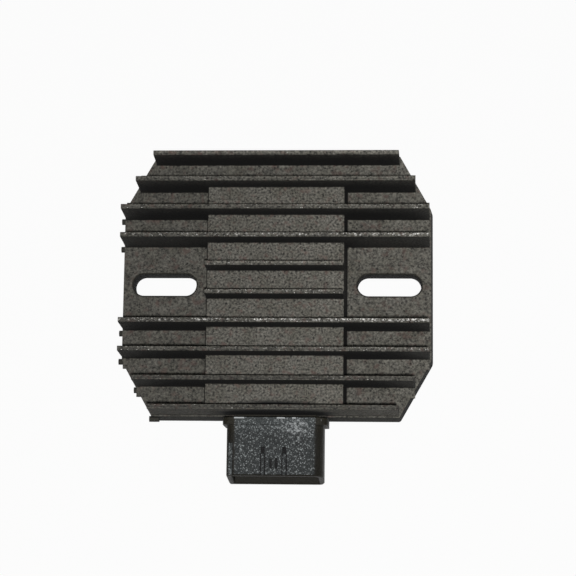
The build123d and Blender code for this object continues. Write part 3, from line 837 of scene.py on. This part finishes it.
def corner_bar(bm, corner_x, top_z, radius, y_ends, side):
    """Adds the bar that rounds an upper corner when it is taken away. Side is -1 left, 1 right."""
    spare = 1.0 * MM
    outline = [
        (corner_x + side * spare, top_z - radius), (corner_x + side * spare, top_z + spare),
        (corner_x - side * radius, top_z + spare),
    ]
    steps = 8
    for step in range(steps + 1):
        turn = math.radians(90) * step / steps
        outline.append((
            corner_x - side * radius * (1 - math.sin(turn)), top_z - radius * (1 - math.cos(turn)),
        ))
    rings = [[bm.verts.new((x, y, z)) for x, z in outline] for y in y_ends]
    count = len(outline)
    for number in range(count):
        after = (number + 1) % count
        bm.faces.new((rings[0][number], rings[0][after], rings[1][after], rings[1][number]))
    bm.faces.new(rings[0])
    bm.faces.new(rings[1])


def box_mesh(bm, low, high):
    """Adds a closed box between two corners."""
    made = bmesh.ops.create_cube(bm, size=1.0)["verts"]
    for vert in made:
        vert.co = [low[i] if vert.co[i] < 0 else high[i] for i in range(3)]


def rounded_housing(look):
    """The plug socket with softer upper corners, grooved guide ribs and its edge rib.

    The shroud's upper right corner is as wide in the part already, where it keys the plug.
    """
    shroud_top = SHROUD_TOP_MM * MM
    flange_top = (SHROUD_TOP_MM + FLANGE_RISE_MM) * MM
    mouth = HOUSING_BOX[0][1] - MM
    front, back = FLANGE_FRONT_MM * MM, FLANGE_REAR_MM * MM
    cut = bmesh.new()
    for side, edge_mm in ((-1, SHROUD_LEFT_MM), (1, SHROUD_RIGHT_MM)):
        lip_x = (edge_mm + side * FLANGE_LIP_MM) * MM
        corner_bar(cut, edge_mm * MM, shroud_top, look.corner, (mouth, front), side)
        corner_bar(cut, lip_x, flange_top, look.flange_corner, (front, back), side)
    for rib_x in GUIDE_RIBS_MM:
        for side in (-1, 1):
            flank = rib_x + side * GUIDE_RIB_WIDTH_MM / 2
            ends = sorted((flank, flank + side * look.groove / MM))
            box_mesh(
                cut, (ends[0] * MM, GUIDE_RIB_END_MM * MM, shroud_top - 2 * look.groove),
                (ends[1] * MM, CORE_HOLE_NEAR_MM * MM, shroud_top + 2 * MM),
            )
    bmesh.ops.recalc_face_normals(cut, faces=cut.faces)
    bars = bpy.data.meshes.new("corner_bars")
    cut.to_mesh(bars)
    cut.free()
    cutter = put("corner_bars", bars)

    solid = bmesh.new()
    solid.from_mesh(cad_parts["connector_housing"].data)
    bmesh.ops.remove_doubles(solid, verts=solid.verts, dist=0.001 * MM)
    bmesh.ops.dissolve_limit(
        solid, angle_limit=math.radians(0.5), verts=solid.verts, edges=solid.edges
    )
    body = bpy.data.meshes.new("plug_socket_shell")
    solid.to_mesh(body)
    solid.free()
    shell = put("plug_socket_shell", body)
    trim = shell.modifiers.new("round_corners", "BOOLEAN")
    trim.operation = "DIFFERENCE"
    trim.solver = "EXACT"
    trim.object = cutter
    ready = shell.evaluated_get(bpy.context.evaluated_depsgraph_get())
    rounded = bpy.data.meshes.new_from_object(ready)
    shell.modifiers.clear()
    bpy.data.objects.remove(cutter)

    # The edge rib reaches down into the rounded corner that it stands on.
    finish = bmesh.new()
    finish.from_mesh(rounded)
    left, near, right, far = [part * MM for part in EDGE_RIB_MM]
    foot, ridge = shroud_top - look.corner * 0.7, shroud_top + RIB_RISE_MM * MM
    box_mesh(finish, (left, near, foot), (right, far, ridge))
    finish.to_mesh(body)
    finish.free()
    bpy.data.meshes.remove(rounded)
    body.materials.clear()
    # Only the rounded strips are smooth: the large level faces keep their own normals. The call
    # that marks the sharp edges makes every face smooth, so it comes first.
    body.set_sharp_from_angle(angle=math.radians(28))
    body.polygons.foreach_set(
        "use_smooth", [max(abs(part) for part in face.normal) < 0.9995 for face in body.polygons]
    )
    if len(body.polygons) < 100:
        raise RuntimeError("the plug socket lost its faces")
    return shell


def tip_edge_lines():
    """Two lines per fin, on the rounded edges of its tip, each with its share of wear and lean."""
    turn = math.radians(NICK_TURN_DEGREES)
    out = FIN_TIP_WIDTH_MM / 2 - FIN_TIP_RADIUS_MM + FIN_TIP_RADIUS_MM * math.sin(turn)
    down = FIN_TIP_RADIUS_MM * (1 - math.cos(turn))
    points, edges, wear, lean = [], [], [], []
    for number in range(FIN_COUNT):
        middle = FIN_ROW_MIDDLE_MM + FIN_PITCH_MM * ((FIN_COUNT - 1) / 2 - number)
        left, right = FIN_ENDS_MM[number]
        drop = FIRST_TIP_DROP_MM if number == 0 else 0.0
        top = TIP_HEIGHT / MM - drop - down - NICK_SINK_MM
        for side in (-1, 1):
            edges.append((len(points), len(points) + 1))
            points += [(x * MM, (middle + side * out) * MM, top * MM) for x in (left, right)]
            wear += [FIN_WEAR[number] * (1.0 if side > 0 else NEAR_SIDE_WEAR)] * 2
            # A nick leans by a third of that turn.
            lean += [-side * turn / 3] * 2
    mesh = bpy.data.meshes.new("fin_tip_lines")
    mesh.from_pydata(points, edges, [])
    mesh.attributes.new("wear", "FLOAT", "POINT").data.foreach_set("value", wear)
    mesh.attributes.new("lean", "FLOAT", "POINT").data.foreach_set("value", lean)
    return mesh


def new_tree(name, sockets):
    """A Geometry Nodes tree with these named inputs, what adds a node to it, and its inputs."""
    tree = bpy.data.node_groups.new(name, "GeometryNodeTree")
    tree.interface.new_socket("Geometry", in_out="INPUT", socket_type="NodeSocketGeometry")
    for label, kind in sockets.items():
        tree.interface.new_socket(label, in_out="INPUT", socket_type="NodeSocket" + kind)
    tree.interface.new_socket("Geometry", in_out="OUTPUT", socket_type="NodeSocketGeometry")
    return tree, partial(add_node, tree), tree.nodes.new("NodeGroupInput").outputs


def hand_out(add, given, inputs):
    """Puts copies on points, makes one mesh of them with the given material and hands it out."""
    copies = add("GeometryNodeInstanceOnPoints", inputs)
    real = add("GeometryNodeRealizeInstances", {"Geometry": copies})
    done = add("GeometryNodeSetMaterial", {"Geometry": real, "Material": given["Material"]})
    add("NodeGroupOutput", {"Geometry": done})


def nick_tree():
    """Nicks along lines: flat slivers of bare metal, long along the tip, leaning with its edge."""
    tree, add, given = new_tree("nicks_along_tips", {
        "Spacing": "Float", "Nick Length": "Float", "Amount": "Float", "Seed": "Int",
        "Material": "Material",
    })
    curves = add("GeometryNodeMeshToCurve", {"Mesh": given["Geometry"]})
    spots = add("GeometryNodeResampleCurve", {
        "Curve": curves, "Length": given["Spacing"],
    }, mode="LENGTH")
    half_step = add("Math", {0: given["Spacing"], 1: 0.5}, operation="MULTIPLY")
    back_step = add("Math", {0: half_step, 1: -1.0}, operation="MULTIPLY")
    slide = add("FunctionNodeRandomValue", {
        LOW: back_step, HIGH: half_step, "Seed": given["Seed"],
    }, data_type="FLOAT")
    offset = add("CombineXYZ", {"X": slide})
    shaken = add("GeometryNodeSetPosition", {"Geometry": spots, "Offset": offset})

    # Nicks come in clusters: a slow noise along the tips raises and lowers their number.
    clusters = add("TexNoise", {"Scale": per_mm(9.0), "Detail": 1.0})
    cluster_share = add("MapRange", {
        "Value": clusters, "From Min": 0.35, "From Max": 0.65, "To Min": 0.25, "To Max": 1.6,
    })
    wear = add("GeometryNodeInputNamedAttribute", {"Name": "wear"}, data_type="FLOAT")
    chance = product(add, wear, given["Amount"], cluster_share)
    # Each draw has a seed of its own, a fixed step from the given one.
    draw_seed = add("Math", {0: given["Seed"], 1: 11.0}, operation="ADD")
    draw = add("FunctionNodeRandomValue", {
        LOW: 0.0, HIGH: 1.0, "Seed": draw_seed,
    }, data_type="FLOAT")
    kept = add("Math", {0: draw, 1: chance}, operation="LESS_THAN")

    # One nick is a twenty-sided sliver; its faces are few because there are hundreds.
    sliver = add("GeometryNodeMeshIcoSphere", {"Radius": 0.5, "Subdivisions": 1})
    lean = add("GeometryNodeInputNamedAttribute", {"Name": "lean"}, data_type="FLOAT")
    turn = add("CombineXYZ", {"X": lean})
    size_seed = add("Math", {0: given["Seed"], 1: 23.0}, operation="ADD")
    size = add("FunctionNodeRandomValue", {
        LOW: 0.25, HIGH: 1.0, "Seed": size_seed,
    }, data_type="FLOAT")
    stretch = add("Math", {0: size, 1: given["Nick Length"]}, operation="MULTIPLY")
    width = add("Math", {0: stretch, 1: 0.4}, operation="MULTIPLY")
    scale = add("CombineXYZ", {"X": stretch, "Y": width, "Z": NICK_THICKNESS_MM * MM})
    hand_out(add, given, {
        "Points": shaken, "Selection": kept, "Instance": sliver, "Rotation": turn, "Scale": scale,
    })
    return tree


def bubble_tree():
    """Low domes on the flat face of the cured resin, where air rose and the skin set over it."""
    tree, add, given = new_tree("bubbles_on_resin", {
        "Face Height": "Float", "Bubble Width": "Float", "Seed": "Int", "Material": "Material",
    })
    place = add("GeometryNodeInputPosition")
    axes = add("SeparateXYZ", {"Vector": place}).outputs
    limit = add("Math", {0: given["Face Height"], 1: 0.1 * MM}, operation="ADD")
    on_face = add("Math", {0: axes["Z"], 1: limit}, operation="LESS_THAN")
    # No two bubbles are nearer than 2.5 mm, which holds their number well under the density.
    spots = add("GeometryNodeDistributePointsOnFaces", {
        "Mesh": given["Geometry"], "Selection": on_face, "Distance Min": 2.5 * MM,
        "Density Max": 60000.0, "Seed": given["Seed"],
    }, distribute_method="POISSON")
    dome = add("GeometryNodeMeshUVSphere", {"Segments": 12, "Rings": 6, "Radius": 0.5})
    size = add("FunctionNodeRandomValue", {
        LOW: 0.2, HIGH: 1.0, "Seed": given["Seed"],
    }, data_type="FLOAT")
    width = add("Math", {0: size, 1: given["Bubble Width"]}, operation="MULTIPLY")
    rise = add("Math", {0: width, 1: 0.35}, operation="MULTIPLY")
    scale = add("CombineXYZ", {"X": width, "Y": width, "Z": rise})
    hand_out(add, given, {"Points": spots, "Instance": dome, "Scale": scale})
    return tree


def grow(mesh, tree, name, values):
    """Runs a Geometry Nodes tree on a mesh and returns its result as one plain mesh object."""
    seed = put(name + "_source", mesh)
    modifier = seed.modifiers.new("grow", "NODES")
    modifier.node_group = tree
    for item in tree.interface.items_tree:
        if item.in_out == "INPUT" and item.name in values:
            modifier[item.identifier] = values[item.name]
    ready = seed.evaluated_get(bpy.context.evaluated_depsgraph_get())
    plain = bpy.data.meshes.new_from_object(ready)
    if not plain.polygons:
        raise RuntimeError(name + " came out empty")
    bpy.data.objects.remove(seed)
    plain.name = name
    return put(name, plain)


def shown_white(add, behind, level):
    """Mixes plain white over a shader, only for what the camera, a mirror or glass sees."""
    rays = add("LightPath").outputs
    straight = add("Math", {0: rays["Is Camera Ray"], 1: rays["Is Glossy Ray"]}, operation="ADD")
    seen = add("Math", {
        0: straight, 1: rays["Is Transmission Ray"],
    }, operation="ADD", use_clamp=True)
    part = add("Math", {0: seen, 1: level}, operation="MULTIPLY")
    white = add("Emission", {"Color": linear("#FFFFFF")})
    return add("MixShader", {0: part, 1: behind, 2: white})


def lay_floor(look):
    """A pale laminate table top that the camera sees as white with a faint shadow."""
    material, add, shader, _ = start_material("pale_laminate")
    plug(shader, {"Base Color": look.floor, "Roughness": 0.7})
    output = material.node_tree.nodes["Material Output"]
    plug(output, {"Surface": shown_white(add, shader, FLOOR_WHITE)})

    half, low = TABLE_HALF, CAD_BOX[0][2] - FLOOR_GAP_MM * MM
    mesh = bpy.data.meshes.new("table_top")
    mesh.from_pydata(
        [(-half, -half, low), (half, -half, low), (half, half, low), (-half, half, low)],
        [], [(0, 1, 2, 3)],
    )
    mesh.materials.append(material)
    put("table_top", mesh)


def hang_lights(look):
    """A small lamp overhead, beside the camera, and a weak even sky.

    The lamp is small, so each fin throws a thin dark line of shadow on what lies behind it.
    """
    lamp = bpy.data.lights.new("key_lamp", "AREA")
    lamp.shape = "DISK"
    lamp.size = LAMP_SIZE
    lamp.energy = look.key_power
    place = Vector(LAMP_PLACE)
    turn = place.to_track_quat("Z", "Y").to_matrix().to_4x4()
    put("key_lamp", lamp).matrix_world = Matrix.Translation(place) @ turn

    world = bpy.data.worlds.new("even_sky")
    bpy.context.scene.world = world
    world.use_nodes = True
    sky = world.node_tree.nodes["Background"]
    plug(sky, {"Color": linear("#F4F6FA"), "Strength": look.sky})


def set_camera(look):
    """The camera stands where the photo was taken from: above, a little right and in front."""
    data = bpy.data.cameras.new("camera")
    data.sensor_width = 36.0
    data.lens = look.lens
    data.clip_start = 0.01
    forward = Vector(CAMERA_FORWARD).normalized()
    right = forward.cross(Vector(CAMERA_UP)).normalized()
    turn = Matrix((right, right.cross(forward), -forward)).transposed().to_4x4()
    camera = put("camera", data)
    camera.matrix_world = Matrix.Translation(CAMERA_PLACE) @ turn
    bpy.context.scene.camera = camera


class VIEW3D_PT_regulator(bpy.types.Panel):
    """Sizes, colours and steps of the regulator rectifier"""

    bl_label = "Voltage Regulator Rectifier"
    bl_idname = "VIEW3D_PT_regulator"
    bl_space_type = "VIEW_3D"
    bl_region_type = "UI"
    bl_category = "Regulator"

    def draw(self, context):
        for look_name, steps in STEPS:
            look = getattr(context.scene, look_name)
            box = self.layout.box()
            for name in look.__annotations__:
                box.prop(look, name)
            for step in steps:
                box.operator(step.bl_idname)


LOOKS = {
    "casting_look": CastingLook,
    "wear_look": WearLook,
    "connector_look": ConnectorLook,
    "inside_look": InsideLook,
    "stage_look": StageLook,
}
STEPS = (
    ("casting_look", (REGULATOR_OT_casting,)),
    ("wear_look", (REGULATOR_OT_nicks,)),
    ("connector_look", (REGULATOR_OT_connector,)),
    ("inside_look", (REGULATOR_OT_inside, REGULATOR_OT_resin)),
    ("stage_look", (REGULATOR_OT_stage,)),
)
CLASSES = (
    *LOOKS.values(),
    *[step for _, steps in STEPS for step in steps],
    VIEW3D_PT_regulator,
)


def register():
    for item in CLASSES:
        bpy.utils.register_class(item)
    for name, group in LOOKS.items():
        setattr(bpy.types.Scene, name, bpy.props.PointerProperty(type=group))


def unregister():
    for name in LOOKS:
        delattr(bpy.types.Scene, name)
    for item in reversed(CLASSES):
        bpy.utils.unregister_class(item)


def main():
    """Registers the add-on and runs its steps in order."""
    register()
    bpy.context.scene.view_settings.view_transform = "Standard"
    bpy.ops.regulator.casting()
    bpy.ops.regulator.nicks()
    bpy.ops.regulator.connector()
    bpy.ops.regulator.inside()
    bpy.ops.regulator.resin()
    bpy.ops.regulator.stage()


if __name__ == "__main__":
    main()
